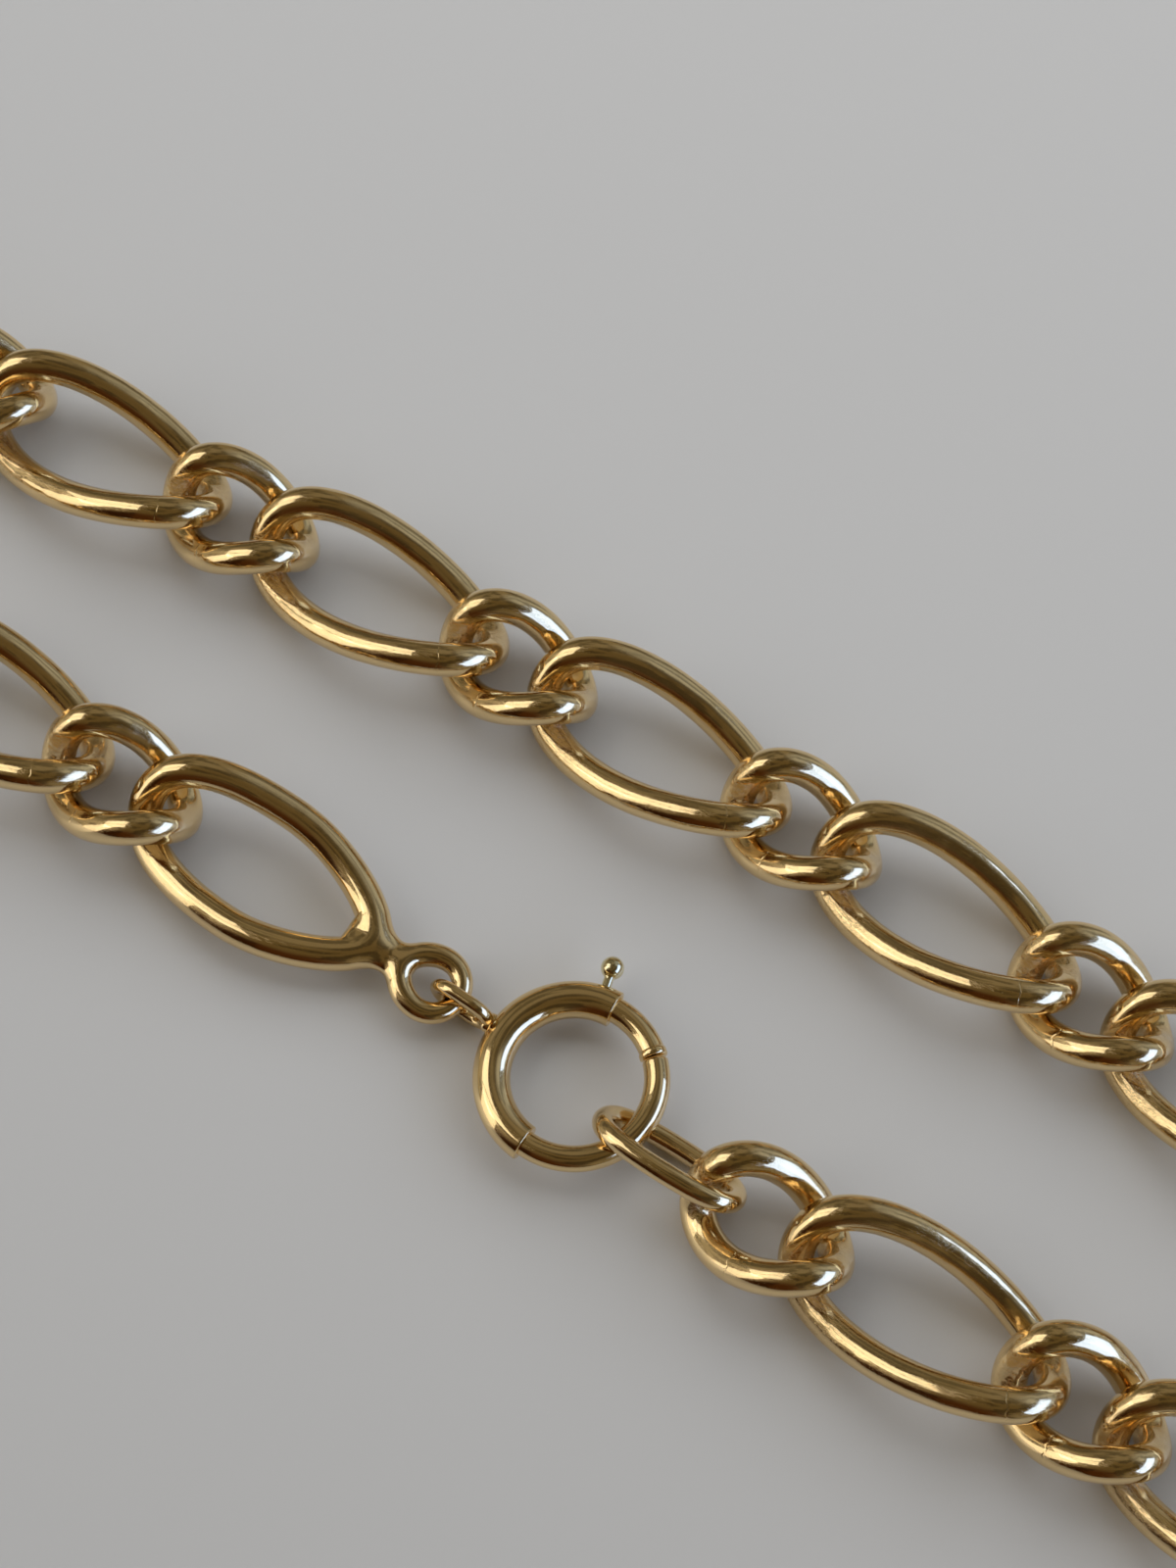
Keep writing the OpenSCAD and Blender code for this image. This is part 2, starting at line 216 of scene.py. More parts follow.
def polished_gold(name, colour, warm_colour, roughness, wear, seam_at=None, left_end_at=None):
    """Polished gold that has been worn: slow waves left by the polishing wheel, a slightly uneven
    colour, hairline scratches and a few small dents. A link's gold also has rubbed ends, lines along
    the wire, a soldered seam and some pits. Its seam and its left end are so far along the wire."""
    material = bpy.data.materials.new(name)
    material.use_nodes = True
    tree = material.node_tree
    tree.nodes.clear()
    start = Value(tree)
    place = start.node("ShaderNodeTexCoord", {}, {}, "Object")

    def noise(size, detail, rough=0.5):
        return start.node("ShaderNodeTexNoise", {}, {
            "Vector": place, "Scale": 1 / (size * MM), "Detail": detail, "Roughness": rough}, "Fac")

    def from_spots(spacing):
        """Distance to the nearest of some scattered spots, as a share of their spacing."""
        return start.node("ShaderNodeTexVoronoi", {"feature": "F1"}, {
            "Vector": place, "Scale": 1 / (spacing * MM), "Randomness": 1.0}, "Distance")

    def hairlines(angle, squeeze, size, width):
        """Fine scratches in one direction: 1 where a noise squeezed across it passes through 0.5."""
        turned = start.node("ShaderNodeMapping", {}, {
            "Vector": place, "Rotation": angle, "Scale": (1.0, squeeze, squeeze)})
        bands = start.node("ShaderNodeTexNoise", {}, {
            "Vector": turned, "Scale": 1 / (size * MM), "Detail": 2.0}, "Fac")
        return eased(start.math("ABSOLUTE", bands - 0.5, 0.0), 0.0, width, 1.0, 0.0)

    waves = noise(1.7, 1.0)
    grain = noise(0.12, 2.0)
    patches = noise(0.9, 3.0, 0.6)
    rubbed = eased(noise(2.3, 2.0), 0.50, 0.68)
    dents = eased(from_spots(1.1), 0.0, 0.10, 1.0, 0.0)
    scratches = hairlines((0.3, 0.5, 0.9), 9.0, 0.9, 0.012) + hairlines((1.1, 0.2, 2.0), 8.0, 0.7, 0.010)
    deeper = 1.0
    if seam_at is not None:
        # Both ends of a link rub on its neighbours, so they are scratched the most
        wrap = start.node("ShaderNodeUVMap", {"uv_map": "wrap"}, {}, "UV")
        along = start.node("ShaderNodeSeparateXYZ", {}, {"Vector": wrap}, "X")
        rubbed_ends = eased(start.math("COSINE", along * (2 * np.pi / left_end_at), 0.0), 0.25, 0.95)
        deeper = 1.0 + rubbed_ends * RUBBED_DEEPER
        scratches = scratches + hairlines((0.7, 1.9, 0.4), 7.0, 0.4, 0.014) * rubbed_ends
    rough = (roughness + patches * 0.03 * wear + rubbed * 0.05 * wear + scratches * 0.06 * wear
             + grain * 0.02 * wear)
    height = (waves * WAVE_DEPTH * wear + grain * GRAIN_DEPTH * wear
              - scratches * deeper * SCRATCH_DEPTH * wear - dents * DENT_DEPTH * wear)
    if seam_at is not None:
        # Fine lines along the wire, left by drawing and polishing it
        stretched = start.node("ShaderNodeMapping", {}, {"Vector": wrap, "Scale": (0.35, 7.0, 1.0)})
        drawn = start.node("ShaderNodeTexNoise", {}, {
            "Vector": stretched, "Scale": 1.0, "Detail": 3.0}, "Fac")
        height = height + drawn * RUBBED_DRAWN_DEPTH * rubbed + drawn * DRAWN_DEPTH
        rough = rough + drawn * rubbed * 0.05
        # The soldered seam: a fine uneven crack round the wire
        off_seam = start.math("ABSOLUTE", along + noise(0.5, 2.0) * 0.3 - 0.15 - seam_at, 0.0)
        crack = eased(off_seam, 0.0, 0.045, 1.0, 0.0)
        # Small pits where the file slipped at the link's left end
        near_left_end = eased(start.math("ABSOLUTE", along - left_end_at, 0.0), 0.2, 1.1, 1.0, 0.0)
        pits = start.node("ShaderNodeMapRange", {}, {
            "Value": from_spots(0.33), "From Min": 0.0, "From Max": 0.45, "To Min": 1.0, "To Max": 0.0})
        height = (height - crack * CRACK_DEPTH * noise(0.2, 1.0)
                  - near_left_end * PIT_DEPTH * pits * noise(0.6, 1.0))
        rough = rough + crack * 0.10
    bump = start.node("ShaderNodeBump", {}, {
        "Strength": 1.0, "Distance": WEAR_STEP * MM, "Height": height})
    surface = start.node("ShaderNodeBsdfPrincipled", {}, {
        "Base Color": blended(patches, colour, warm_colour), "Metallic": 1.0, "Roughness": rough,
        "Normal": bump})
    start.node("ShaderNodeOutputMaterial", {}, {"Surface": surface})
    return material


def chain_link(node, length, width, twist, stations, finish):
    """One twisted link of round wire, laid where its CAD node lies."""
    route, normals = link_route((length - LINK_WIRE) / 2, (width - LINK_WIRE) / 2,
                                lambda u: -twist * u, LINK_FULL, LINK_FULL, stations)
    middle, axes = node_frame(node)
    corners = closed_tube(route, normals, LINK_WIRE / 2, WIRE_SIDES).reshape(-1, 3) @ axes.T + middle
    faces = grid_faces(stations, WIRE_SIDES, True)
    wrap = tube_wrap(faces, stations, WIRE_SIDES, loop_length(route), np.pi * LINK_WIRE)
    return new_piece(node.replace("link", "link_wire"), corners, faces, finish,
                     "chain", node, wrap)


YELLOW = (0.84, 0.615, 0.305, 1)
PALER_YELLOW = (0.86, 0.66, 0.365, 1)
LONG_SEAM_AT = 24.3
LONG_LEFT_END_AT = 16.6
long_gold = polished_gold("polished long link gold", YELLOW, PALER_YELLOW, roughness=0.022, wear=1.0,
                          seam_at=LONG_SEAM_AT, left_end_at=LONG_LEFT_END_AT)
for number in range(1, 13):
    chain_link(f"long_link_{number:02d}", LONG_LEN, LONG_W, LONG_TWIST, LONG_STATIONS, long_gold)


# Short links
# A short link is bent and twisted from the same wire as a long one, but it is shorter, rounder
# and twisted further. One joins every two long links.

SHORT_LEN = 7.4
SHORT_W = 5.6
SHORT_TWIST = 55.0
SHORT_STATIONS = 180
SHORT_SEAM_AT = 13.9
SHORT_LEFT_END_AT = 9.6
short_gold = polished_gold("polished short link gold", YELLOW, PALER_YELLOW, roughness=0.022, wear=1.0,
                           seam_at=SHORT_SEAM_AT, left_end_at=SHORT_LEFT_END_AT)
for number in range(1, 14):
    chain_link(f"short_link_{number:02d}", SHORT_LEN, SHORT_W, SHORT_TWIST, SHORT_STATIONS, short_gold)


# End link
# The last long link before the clasp keeps its twist on the chain's side only. Its other end is
# flat, and a small ring is soldered to it by a short neck, to take the bolt ring's eye.

END_MIDDLE = np.array([-12.6085, -5.6497, 1.6001])
END_HEADING = -2.6
END_PITCH = -3.0523
END_FULL = -0.03
END_TIP = LONG_LEN / 2
NECK_LEN = 0.68
END_RING_D = 3.2
END_RING_WIRE = 0.84
END_RING_STATIONS = 120
# The end ring is a little longer and thicker on the neck's side
END_RING_LONGER = 0.24
END_RING_THICKER = 0.10
END_RING_X = END_TIP + NECK_LEN + END_RING_D / 2
END_RING_R = (END_RING_D - END_RING_WIRE) / 2
# Eggs of solder, and a nick in them: the middle of each, and its half sizes along X, Y and Z
PLUG = ((END_TIP + 0.10, 0.0, 0.0), (1.0, 0.78, 0.52))
CORNER_SOLDER = ((END_TIP - 1.34, 0.05, 0.02), (0.46, 0.46, 0.38))
SOLDER_BEAD = ((END_TIP - 1.50, -0.30, 0.20), (0.24, 0.30, 0.26))
NICK = ((END_TIP + 0.10, -0.52, 0.56), (0.05, 0.20, 0.12))
# How far the fillet round each of them reaches
PLUG_REACH = 0.45
END_RING_REACH = 0.34
CORNER_REACH = 0.55
BEAD_REACH = 0.16
FINE_LINK_STATIONS = 1800
FINE_RING_STATIONS = 500
# The joint is looked for from this far back along the link, and lies this far below the bare wires
JOINT_BACK = 2.3
JOINT_SINK = 0.004
JOINT_LEAST_R = 0.004
JOINT_MOST_R = 1.75
JOINT_ROWS = 100
JOINT_SIDES = 80
JOINT_STEPS = 24


def turn(heading, pitch=0.0):
    """Rotation that pitches the +X end up, then turns to a heading, in degrees."""
    return np.array(Matrix.Rotation(np.radians(heading), 3, "Z")
                    @ Matrix.Rotation(-np.radians(pitch), 3, "Y"))


def joined(*shells):
    """One list of corners and one of faces, from several shells of (corners, faces)."""
    corners = []
    faces = []
    count = 0
    for shell, shell_faces in shells:
        corners.append(shell.reshape(-1, 3))
        faces.append(shell_faces + count)
        count += shell.size // 3
    return np.concatenate(corners), np.concatenate(faces)


def end_link_line(stations):
    """Centre line of the end link. At a share u of its half length it leans by the long links' twist
    times ((1 - u) / 2) squared, which is 0 at the neck."""
    return link_route((LONG_LEN - LINK_WIRE) / 2, (LONG_W - LINK_WIRE) / 2,
                      lambda u: LONG_TWIST * ((1 - u) / 2) ** 2, LINK_FULL, END_FULL, stations)


def end_ring_line(stations):
    """The end ring's centre line, its wire's radius, and a share: 1 on the neck's side, 0 opposite."""
    angle = round_angles(stations)
    near_neck = (1 - np.cos(angle)) / 2
    line = np.stack([END_RING_X + (END_RING_R + END_RING_LONGER * near_neck ** 2) * np.cos(angle),
                     END_RING_R * np.sin(angle), 0 * angle], axis=1)
    return line, END_RING_WIRE / 2 + END_RING_THICKER * near_neck, near_neck


def wire_depth(points, line, radius):
    """How far points lie outside a wire: their least distance to its centre line's points, minus
    the wire's radius there. It is negative inside."""
    squares = (points ** 2).sum(1)[:, None] + (line ** 2).sum(1)[None] - 2 * points @ line.T
    return (np.sqrt(np.maximum(squares, 0)) - radius).min(axis=1)


def egg_depth(points, middle, half_sizes):
    """About how far points lie outside an egg: their distance from its middle, in half sizes, less 1,
    times its least half size."""
    scaled = (points - np.array(middle)) / np.array(half_sizes)
    return (np.linalg.norm(scaled, axis=1) - 1) * min(half_sizes)


def run_together(first, second, reach):
    """Joins two depths with a hollow fillet: the lesser of them, less h squared times reach / 4,
    where h = 1 - their difference / reach, and is never below 0."""
    h = np.maximum(reach - np.abs(first - second), 0) / reach
    return np.minimum(first, second) - h ** 2 * reach / 4


# The wires near the joint, as points close enough together to measure from
near_link, _ = end_link_line(FINE_LINK_STATIONS)
near_link = near_link[near_link[:, 0] > END_TIP - JOINT_BACK - 0.1]
near_ring, near_ring_radius, near_neck = end_ring_line(FINE_RING_STATIONS)
near_ring = near_ring[near_neck > 0.3]
near_ring_radius = near_ring_radius[near_neck > 0.3]


def joint_depth(points):
    """Depth of the soldered joint: link wire, neck and end ring run together, with solder in the
    link's inner corner. It sinks a little below the bare wires, so that only its fillets show."""
    soldered = wire_depth(points, near_link, LINK_WIRE / 2)
    soldered = run_together(soldered, egg_depth(points, *PLUG), PLUG_REACH)
    soldered = run_together(soldered, wire_depth(points, near_ring, near_ring_radius), END_RING_REACH)
    soldered = run_together(soldered, egg_depth(points, *CORNER_SOLDER), CORNER_REACH)
    soldered = run_together(soldered, egg_depth(points, *SOLDER_BEAD), BEAD_REACH)
    return np.maximum(soldered, -egg_depth(points, *NICK)) + JOINT_SINK


# The joint's surface is found along rays square to the neck's axis, where its depth reaches 0. Its
# rows crowd together at both ends, which are poles
axis_x = np.linspace(END_TIP - JOINT_BACK, END_RING_X - 0.5, 4000)
on_axis = joint_depth(np.stack([axis_x, 0 * axis_x, 0 * axis_x], axis=1)) < 0
joint_from = axis_x[on_axis][0]
joint_to = axis_x[np.argmax(~on_axis & (axis_x > END_TIP))]
crowded = np.cos(np.linspace(0, np.pi, JOINT_ROWS))
joint_x = (joint_from + joint_to) / 2 - (joint_to - joint_from) / 2 * crowded
joint_s = round_angles(JOINT_SIDES)
joint_r = np.zeros(JOINT_ROWS * JOINT_SIDES)
joint_axis = np.stack([np.repeat(joint_x, JOINT_SIDES), 0 * joint_r, 0 * joint_r], axis=1)
joint_ray = np.stack([0 * joint_r, np.tile(np.cos(joint_s), JOINT_ROWS),
                      np.tile(np.sin(joint_s), JOINT_ROWS)], axis=1)
for _ in range(JOINT_STEPS):
    left_to_go = joint_depth(joint_axis + joint_ray * joint_r[:, None])
    joint_r = np.clip(joint_r - left_to_go, 0, JOINT_MOST_R)
joint_r = np.maximum(joint_r, JOINT_LEAST_R)
joint_r[:JOINT_SIDES] = 0
joint_r[-JOINT_SIDES:] = 0

end_line, end_normals = end_link_line(LONG_STATIONS)
end_ring_points, end_ring_radius, _ = end_ring_line(END_RING_STATIONS)
flat_up = np.tile([0.0, 0.0, 1.0], (END_RING_STATIONS, 1))
end_corners, end_faces = joined(
    (closed_tube(end_line, end_normals, LINK_WIRE / 2, WIRE_SIDES),
     grid_faces(LONG_STATIONS, WIRE_SIDES, True)),
    (closed_tube(end_ring_points, flat_up, end_ring_radius, WIRE_SIDES),
     grid_faces(END_RING_STATIONS, WIRE_SIDES, True)),
    (joint_axis + joint_ray * joint_r[:, None], grid_faces(JOINT_ROWS, JOINT_SIDES, False)))
chain_gold = polished_gold("polished chain gold", YELLOW, PALER_YELLOW, roughness=0.022, wear=0.9)
new_piece("end_link_wire", end_corners @ turn(END_HEADING, END_PITCH).T + END_MIDDLE, end_faces,
          chain_gold, "chain", "end_link")


# Connector link
# A plain oval link of thinner wire, not twisted. It is hooked round the bolt ring's thin tube and
# holds the last short link.

CONNECTOR_LEN = 6.8
CONNECTOR_W = 3.95
CONNECTOR_WIRE = 0.86
CONNECTOR_STATIONS = 160
connector_line, connector_normals = link_route(
    (CONNECTOR_LEN - CONNECTOR_WIRE) / 2, (CONNECTOR_W - CONNECTOR_WIRE) / 2,
    lambda u: 0 * u, LINK_FULL, LINK_FULL, CONNECTOR_STATIONS)
connector_middle, connector_axes = node_frame("connector_link")
connector_corners = closed_tube(connector_line, connector_normals, CONNECTOR_WIRE / 2, WIRE_SIDES)
new_piece("connector_link_wire", connector_corners.reshape(-1, 3) @ connector_axes.T + connector_middle,
          grid_faces(CONNECTOR_STATIONS, WIRE_SIDES, True), chain_gold, "chain",
          "connector_link")


# Bolt ring
# The clasp's ring is bent from two gold tubes: a fat one, open at its mouth and slotted on its
# outside for the knob, and a thin one let into its closed end. A wire eye is soldered to its side.

RING_MIDDLE = np.array([2.61745, -6.46044, 1.44875])
RING_D = 8.0
FAT_D = 1.5
FAT_R = FAT_D / 2
BORE_R = 0.57
THIN_R = 0.52
TUBE_R = (RING_D - FAT_D) / 2
MOUTH_AT = 91.0
FAT_END_AT = 265.0
BORE_END_AT = 255.3
THIN_FROM = 258.8
TIP_AT = 404.0
SLOT_W = 0.52
SLOT_FROM = 97.92
SLOT_TO = 142.08
EDGE = 0.05
RING_SIDES = 64
SLOT_SIDES = 12
SLOT_ROWS = 45
ROUND_SIDES = 48
# The ring leans 3 degrees about a line across it, at a right angle to the connector link's side
ring_turn = turn(-10.5) @ turn(0, 3) @ turn(10.5)


def around_ring(profile, section):
    """Rows of a surface bent round the ring: a profile row [ring angle, r] and section angles s give
    (ring radius + r cos s) outward in the ring's plane and r sin s above it."""
    angle = np.radians(profile[:, 0])[:, None]
    radius = profile[:, 1][:, None]
    out = TUBE_R + radius * np.cos(section)
    return np.stack([out * np.cos(angle), out * np.sin(angle), radius * np.sin(section) + 0 * angle], axis=-1)


def arc(centre_x, radius, start, end, count):
    """Points on an arc of a circle whose centre is on the X axis."""
    angles = np.radians(np.linspace(start, end, count))
    return np.stack([centre_x + radius * np.cos(angles), radius * np.sin(angles)], axis=1)


def straight(start, end, height, count):
    """Evenly spaced points from start to end, all at one height."""
    return np.stack([np.linspace(start, end, count), np.full(count, height)], axis=1)


# The fat tube's profile goes round its closed end, along its outside past the slot, round the mouth
# and back along its bore. It starts and ends at a pole
edge_deg = np.degrees(EDGE / TUBE_R)
past_slot = SLOT_TO + 1.0
before_slot = SLOT_FROM - 0.5
slot_angles = np.linspace(SLOT_TO, SLOT_FROM, SLOT_ROWS)
outer_rows = np.concatenate([
    [[FAT_END_AT, 0.02], [FAT_END_AT, 0.35], [FAT_END_AT, FAT_R - 1.6 * EDGE], [FAT_END_AT, FAT_R - EDGE],
     [FAT_END_AT - 0.3 * edge_deg, FAT_R - 0.3 * EDGE], [FAT_END_AT - edge_deg, FAT_R]],
    straight(FAT_END_AT - 2 * edge_deg, past_slot, FAT_R, 100)])
outer_slot = np.stack([slot_angles, np.full(SLOT_ROWS, FAT_R)], axis=1)
mouth_rows = np.concatenate([
    straight(before_slot, MOUTH_AT + 2 * edge_deg, FAT_R, 8),
    [[MOUTH_AT + 0.8 * edge_deg, FAT_R], [MOUTH_AT + 0.25 * edge_deg, FAT_R - 0.012],
     [MOUTH_AT, FAT_R - 0.045], [MOUTH_AT + 0.25 * edge_deg, FAT_R - 0.10],
     [MOUTH_AT + 0.8 * edge_deg, BORE_R + 0.03], [MOUTH_AT + 1.5 * edge_deg, BORE_R]],
    straight(MOUTH_AT + 2 * edge_deg, before_slot, BORE_R, 8)])
inner_slot = np.stack([slot_angles[::-1], np.full(SLOT_ROWS, BORE_R)], axis=1)
bore_rows = np.concatenate([
    straight(past_slot, BORE_END_AT, BORE_R, 60), [[BORE_END_AT, 0.3], [BORE_END_AT, 0.02]]])
fat_profile = np.concatenate([outer_rows, outer_slot, mouth_rows, inner_slot, bore_rows])
first_outer = len(outer_rows)
first_inner = first_outer + SLOT_ROWS + len(mouth_rows)
# The section angles are spread so that the slot's sides fall on two columns of corners
half_slot = np.arcsin(np.minimum(SLOT_W / 2 / np.maximum(fat_profile[:, 1], BORE_R), 1))[:, None]
across_slot = np.linspace(0, 1, SLOT_SIDES + 1)[None, :]
elsewhere = np.linspace(0, 1, RING_SIDES - SLOT_SIDES + 1)[None, 1:-1]
sections = np.concatenate([half_slot * (2 * across_slot - 1),
                           half_slot + (2 * np.pi - 2 * half_slot) * elsewhere], axis=1)
fat_corners = around_ring(fat_profile, sections)
fat_corners[0] = fat_corners[0].mean(0)
fat_corners[-1] = fat_corners[-1].mean(0)
fat_faces = grid_faces(len(fat_profile), RING_SIDES, False)
face_row = fat_faces[:, 0] // RING_SIDES
face_column = fat_faces[:, 0] % RING_SIDES
in_slot = (face_column < SLOT_SIDES) & (
    ((face_row >= first_outer) & (face_row < first_outer + SLOT_ROWS - 1))
    | ((face_row >= first_inner) & (face_row < first_inner + SLOT_ROWS - 1)))
# Walls of the slot, from the tube's outside to its bore
row = np.arange(SLOT_ROWS - 1)
column = np.arange(SLOT_SIDES)
outer = (first_outer + row) * RING_SIDES
inner = (first_inner + SLOT_ROWS - 1 - row) * RING_SIDES
low_wall = np.stack([outer, outer + RING_SIDES, inner - RING_SIDES, inner], axis=1)
high_wall = low_wall[:, ::-1] + SLOT_SIDES
far_outer = outer[0] + column
far_inner = inner[0] + column
far_wall = np.stack([far_outer, far_inner, far_inner + 1, far_outer + 1], axis=1)
near_outer = outer[-1] + RING_SIDES + column
near_inner = inner[-1] - RING_SIDES + column
near_wall = np.stack([near_outer, near_outer + 1, near_inner + 1, near_inner], axis=1)
fat_faces = np.concatenate([fat_faces[~in_slot], low_wall, high_wall, far_wall, near_wall])

# The thin tube, with its rounded tip
thin_profile = np.concatenate([
    [[THIN_FROM, 0.0], [THIN_FROM, THIN_R]], straight(THIN_FROM + 1, TIP_AT - 1.4, THIN_R, 150),
    [[TIP_AT - 1.0, THIN_R - 0.01], [TIP_AT - 0.45, THIN_R - 0.04], [TIP_AT - 0.1, THIN_R - 0.1],
     [TIP_AT, THIN_R - 0.2], [TIP_AT, 0.0]]])
thin_corners = around_ring(thin_profile, round_angles(ROUND_SIDES)[None, :])
thin_faces = grid_faces(len(thin_profile), ROUND_SIDES, False)[:, ::-1]

# The eye stands upright: two arcs joined by straight legs, in the plane of outward and up
EYE_AT = 176.4
EYE_H = 2.3
EYE_WIRE = 0.56
EYE_NEAR = 4.97
EYE_FAR = 5.75
EYE_SIDES = 32
eye_r = (EYE_H - EYE_WIRE) / 2
eye_line = np.concatenate([arc(EYE_FAR, eye_r, -90, 90, 40), straight(EYE_FAR, EYE_NEAR, eye_r, 12)[1:-1],
                           arc(EYE_NEAR, eye_r, 90, 270, 40), straight(EYE_NEAR, EYE_FAR, -eye_r, 12)[1:-1]])
eye_line = np.stack([eye_line[:, 0], 0 * eye_line[:, 0], eye_line[:, 1]], axis=1)
eye_side = np.tile([0.0, 1.0, 0.0], (len(eye_line), 1))
eye_corners = closed_tube(eye_line, eye_side, EYE_WIRE / 2, EYE_SIDES)
eye_faces = grid_faces(len(eye_line), EYE_SIDES, True)

# The eye's bead of solder is uneven: a ball whose radius swells and sinks a little
BEAD_R = 0.43
BEAD_ROWS = 25
BEAD_SIDES = 40
polar = np.linspace(0, np.pi, BEAD_ROWS)[:, None]
turned = round_angles(BEAD_SIDES)[None, :]
uneven_r = BEAD_R * (1 + 0.06 * np.sin(3 * turned + 1) * np.sin(polar) ** 2
                     + 0.05 * np.cos(5 * polar + turned))
uneven_r[0] = uneven_r[0].mean()
uneven_r[-1] = uneven_r[-1].mean()
bead = np.stack([RING_D / 2 + uneven_r * np.cos(polar), uneven_r * np.sin(polar) * np.cos(turned),
                 uneven_r * np.sin(polar) * np.sin(turned)], axis=-1)
bead_faces = grid_faces(BEAD_ROWS, BEAD_SIDES, False)[:, ::-1]

eye_turn = turn(EYE_AT)
ring_corners, ring_faces = joined((fat_corners, fat_faces), (thin_corners, thin_faces),
                                  (eye_corners @ eye_turn.T, eye_faces), (bead @ eye_turn.T, bead_faces))
clasp_gold = polished_gold("polished clasp gold", YELLOW, PALER_YELLOW, roughness=0.02, wear=0.6)
new_piece("bolt_ring_tubes", ring_corners @ ring_turn.T + RING_MIDDLE, ring_faces, clasp_gold,
          "chain", "bolt_ring")


# Bolt
# A curved gold rod that slides in the fat tube on a spring. It has a collar at its tip, and a
# turned ball on a short stem, of paler gold, for the fingernail that draws it back.

BOLT_R = 0.52
BOLT_TIP_AT = 45.41
BOLT_END_AT = 115.72
COLLAR_R = 0.57
COLLAR_TO = 51.2
KNOB_AT = 102.5
KNOB_OUT = 4.82
BALL_R = 0.47
STEM_R = 0.2
BALL_ROWS = 30
STEM_ROWS = 20
KNOB_SIDES = 40


def lathe(profile, sides):
    """Rings of a surface turned about the X axis: a profile row [x, r] gives x, r cos s, r sin s."""
    s = round_angles(sides)
    radius = profile[:, 1][:, None]
    x = profile[:, 0][:, None] + 0 * s
    return np.stack([x, radius * np.cos(s), radius * np.sin(s)], axis=-1)


bolt_profile = np.concatenate([
    [[BOLT_TIP_AT, 0.0], [BOLT_TIP_AT, 0.42], [BOLT_TIP_AT + 0.15, 0.50], [BOLT_TIP_AT + 0.6, 0.55],
     [BOLT_TIP_AT + 1.3, COLLAR_R], [COLLAR_TO - 1.6, COLLAR_R], [COLLAR_TO - 0.6, 0.557],
     [COLLAR_TO - 0.1, 0.535], [COLLAR_TO, BOLT_R]],
    straight(COLLAR_TO + 0.4, BOLT_END_AT - 0.6, BOLT_R, 90),
    [[BOLT_END_AT, BOLT_R - 0.05], [BOLT_END_AT, 0.0]]])
bolt_corners = around_ring(bolt_profile, round_angles(ROUND_SIDES)[None, :])
bolt_faces = grid_faces(len(bolt_profile), ROUND_SIDES, False)[:, ::-1]
new_piece("bolt_rod", bolt_corners.reshape(-1, 3) @ ring_turn.T + RING_MIDDLE, bolt_faces, clasp_gold,
          "bolt", "bolt")

ball = arc(KNOB_OUT, BALL_R, 150, 0, BALL_ROWS)
ball[-1, 1] = 0.0
stem = straight(TUBE_R, ball[0, 0] - 0.06, STEM_R, STEM_ROWS)
knob_profile = np.concatenate([[[TUBE_R, 0.0]], stem, ball])
knob_corners = lathe(knob_profile, KNOB_SIDES).reshape(-1, 3) @ turn(KNOB_AT).T @ ring_turn.T + RING_MIDDLE
knob_faces = grid_faces(len(knob_profile), KNOB_SIDES, False)[:, ::-1]
bolt_gold = polished_gold("polished pale gold", (0.80, 0.70, 0.42, 1), (0.82, 0.73, 0.47, 1),
                          roughness=0.03, wear=0.7)
new_piece("bolt_knob", knob_corners, knob_faces, bolt_gold, "bolt", None)


# Table
# A pale table top with a lacquer that shows soft reflections of the links. It only stages the
# bracelet, and reaches far past the picture's edges.

TABLE_SIDE = 3000.0
table_white = bpy.data.materials.new("pale table lacquer")
table_white.use_nodes = True
table_white.node_tree.nodes.clear()
table_start = Value(table_white.node_tree)
table_surface = table_start.node("ShaderNodeBsdfPrincipled", {}, {
    "Base Color": (0.63, 0.622, 0.613, 1), "Roughness": 0.24, "Specular IOR Level": 0.35})
table_start.node("ShaderNodeOutputMaterial", {}, {"Surface": table_surface})
half = TABLE_SIDE / 2 * MM
table_corners = [(-half, -half, 0), (half, -half, 0), (half, half, 0), (-half, half, 0)]
table_mesh = bpy.data.meshes.new("table_top")
table_mesh.from_pydata(table_corners, [], [(0, 1, 2, 3)])
table_mesh.materials.append(table_white)
table_top = bpy.data.objects.new("table_top", table_mesh)
bpy.context.scene.collection.objects.link(table_top)


# Light
# Daylight as the gold mirrors it: two panes of a warm window and a low warm one on the left, a cool
# one on the right, pale walls, and a dark ceiling and front of the room. Three more lights are there
# for matt surfaces alone, so that the table is lit evenly.

room = bpy.data.worlds.new("plain room")
bpy.context.scene.world = room
room.use_nodes = True
room.node_tree.nodes.clear()
air = Value(room.node_tree)
sky = air.node("ShaderNodeTexCoord", {}, {}, "Generated")


def toward(direction, inner, outer):
    """1 within the inner angle of a direction, falling smoothly to 0 at the outer angle, in degrees."""
    facing = air.node("ShaderNodeVectorMath", {"operation": "DOT_PRODUCT"}, {
        0: sky, 1: Vector(direction).normalized()}, "Value")
    return eased(facing, float(np.cos(np.radians(outer))), float(np.cos(np.radians(inner))))


# Brown walls, paler and cooler behind on the right, pale on the left, then the ceiling and the front
walls = blended(toward((0.58, 0.72, 0.38), 10, 50), (0.145, 0.125, 0.085, 1), (0.29, 0.31, 0.32, 1))
walls = blended(toward((-0.72, -0.38, 0.55), 20, 44), walls, (0.27, 0.24, 0.18, 1))
walls = blended(toward((0.22, -0.40, 0.88), 14, 56), walls, (0.080, 0.060, 0.030, 1))
walls = blended(toward((-0.05, -1.0, 0.10), 18, 52), walls, (0.040, 0.015, 0.004, 1))
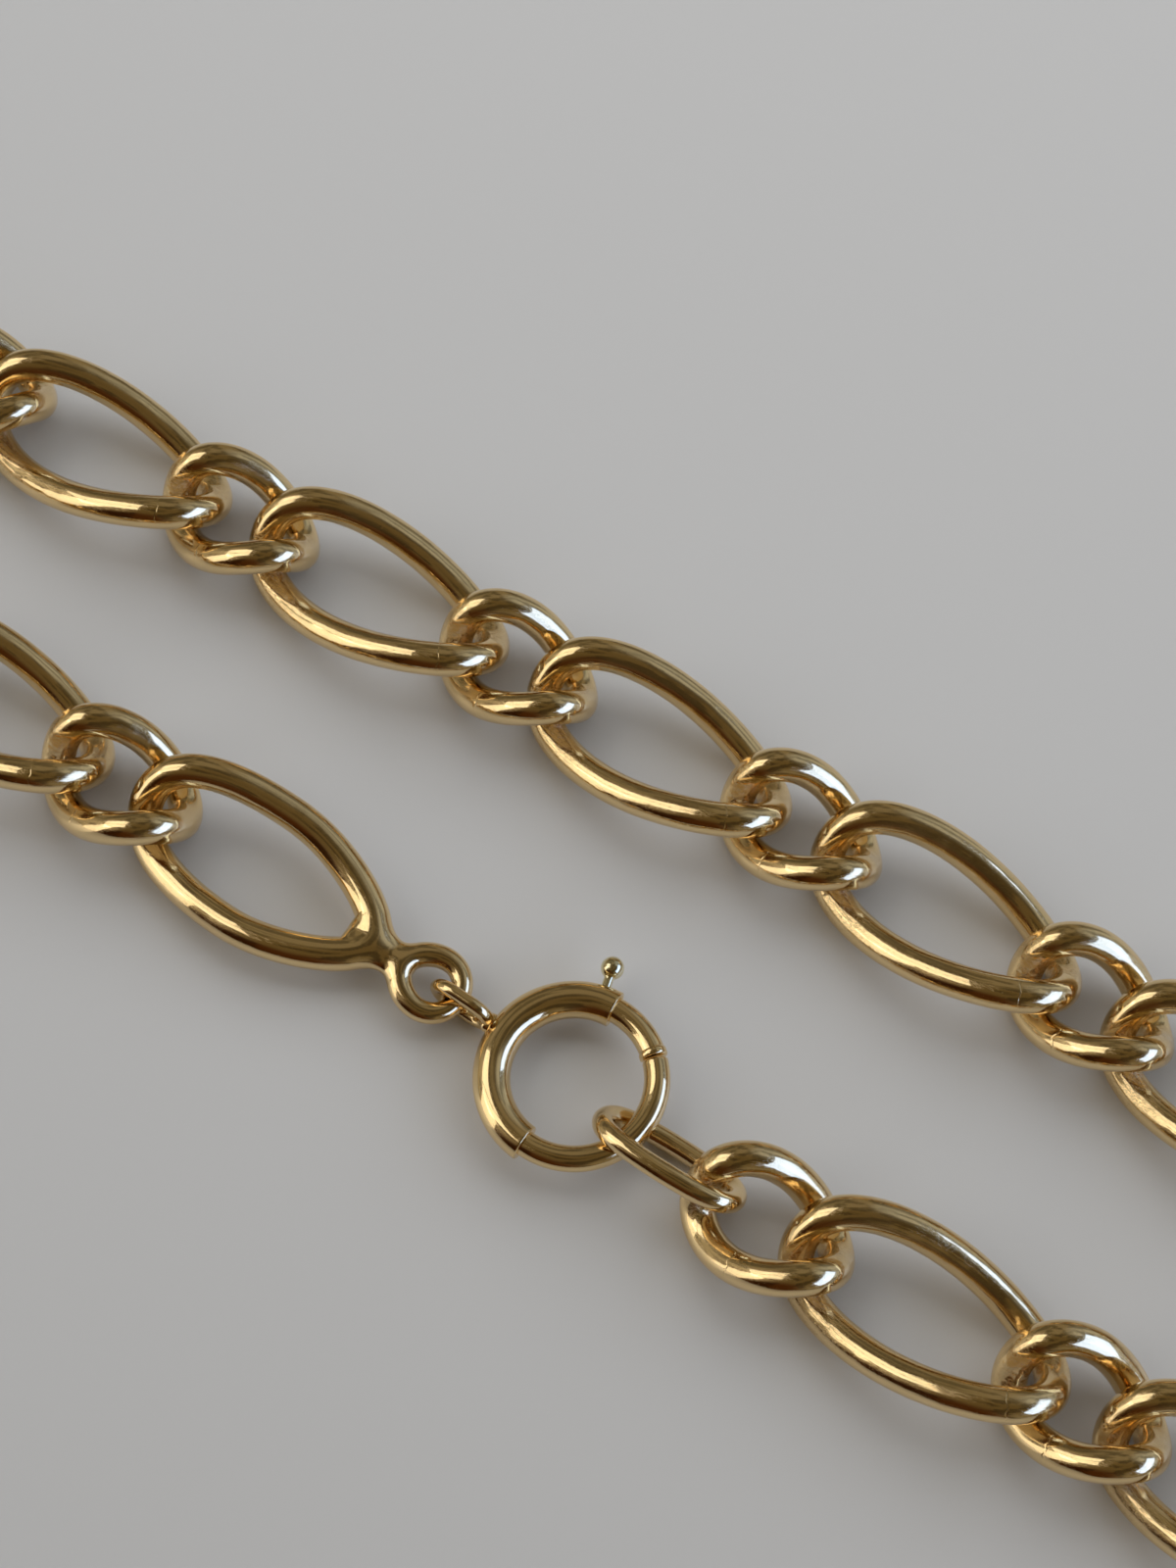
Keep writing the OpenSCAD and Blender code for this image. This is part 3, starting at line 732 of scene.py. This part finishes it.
# The walls are uneven, as a furnished room is
room_shapes = air.node("ShaderNodeTexNoise", {}, {"Vector": sky, "Scale": 2.4, "Detail": 2.0}, "Fac")
glow = air.node("ShaderNodeBackground", {}, {
    "Color": walls, "Strength": eased(room_shapes, 0.44, 0.56, 0.66, 1.42)})
air.node("ShaderNodeOutputWorld", {}, {"Surface": glow})


def window(name, direction, long_side, distance, length, height, radiance, colour, lit="all"):
    """A soft rectangular light in a direction from the bracelet, its longer side along a given line,
    with sizes in metres. Its power is radiance x area x pi. It may be there for "reflections" or for
    "matt" surfaces only."""
    lamp = bpy.data.lights.new(name, "AREA")
    lamp.shape = "RECTANGLE"
    lamp.size = length
    lamp.size_y = height
    lamp.energy = radiance * length * height * np.pi
    lamp.color = colour
    back = Vector(direction).normalized()
    along = (Vector(long_side) - back * back.dot(Vector(long_side))).normalized()
    up = back.cross(along)
    holder = bpy.data.objects.new(name, lamp)
    holder.matrix_world = Matrix((
        (along.x, up.x, back.x, back.x * distance), (along.y, up.y, back.y, back.y * distance),
        (along.z, up.z, back.z, back.z * distance), (0, 0, 0, 1)))
    holder.visible_glossy = lit != "matt"
    holder.visible_diffuse = lit != "reflections"
    bpy.context.scene.collection.objects.link(holder)


window("warm window near pane", direction=(-0.599, -0.36, 0.732), long_side=(0.2, -0.95, 0),
       distance=1.0, length=0.305, height=0.60, radiance=1.22, colour=(1.0, 0.97, 0.92))
window("warm window far pane", direction=(-0.681, -0.04, 0.748), long_side=(0.2, -0.95, 0),
       distance=1.0, length=0.305, height=0.60, radiance=1.22, colour=(1.0, 0.97, 0.92))
window("low warm window", direction=(-0.75, -0.60, 0.30), long_side=(-0.19, -0.50, -0.85),
       distance=1.0, length=0.7, height=0.40, radiance=1.12, colour=(1.0, 0.96, 0.90))
window("cool window", direction=(0.86, 0.20, 0.46), long_side=(-0.24, 0.97, 0),
       distance=1.0, length=1.3, height=0.46, radiance=3.0, colour=(0.31, 0.48, 1.0), lit="reflections")
window("right light", direction=(0.86, 0.21, 0.46), long_side=(-0.24, 0.97, 0),
       distance=1.0, length=2.2, height=0.44, radiance=1.35, colour=(0.95, 1.08, 1.31), lit="matt")
window("left light", direction=(-0.90, 0.25, 0.36), long_side=(0.25, 0.9, 0),
       distance=1.0, length=2.2, height=0.44, radiance=0.5, colour=(0.96, 1.0, 1.10), lit="matt")
window("back light", direction=(-0.15, 0.62, 0.77), long_side=(0.9, 0.35, 0),
       distance=0.20, length=0.32, height=0.20, radiance=1.15, colour=(0.96, 1.0, 1.05), lit="matt")


# Camera
# Held by hand above the table, looking down at about 68 degrees, so that the chain's two strands
# cross the picture and both turns are outside it.

CAMERA_PLACE = Vector((13.62, -32.15, 101.87)) * MM
CAMERA_RIGHT = Vector((0.857427, 0.512837, 0.042625))
CAMERA_UP = Vector((-0.490292, 0.788950, 0.370367))
camera_data = bpy.data.cameras.new("camera")
camera_data.lens = 60.7
camera_data.clip_start = 0.001
camera = bpy.data.objects.new("camera", camera_data)
toward_viewer = CAMERA_RIGHT.cross(CAMERA_UP)
camera.matrix_world = Matrix((
    (CAMERA_RIGHT.x, CAMERA_UP.x, toward_viewer.x, CAMERA_PLACE.x),
    (CAMERA_RIGHT.y, CAMERA_UP.y, toward_viewer.y, CAMERA_PLACE.y),
    (CAMERA_RIGHT.z, CAMERA_UP.z, toward_viewer.z, CAMERA_PLACE.z),
    (0, 0, 0, 1)))
bpy.context.scene.collection.objects.link(camera)
bpy.context.scene.camera = camera
bpy.context.scene.view_settings.view_transform = "Standard"
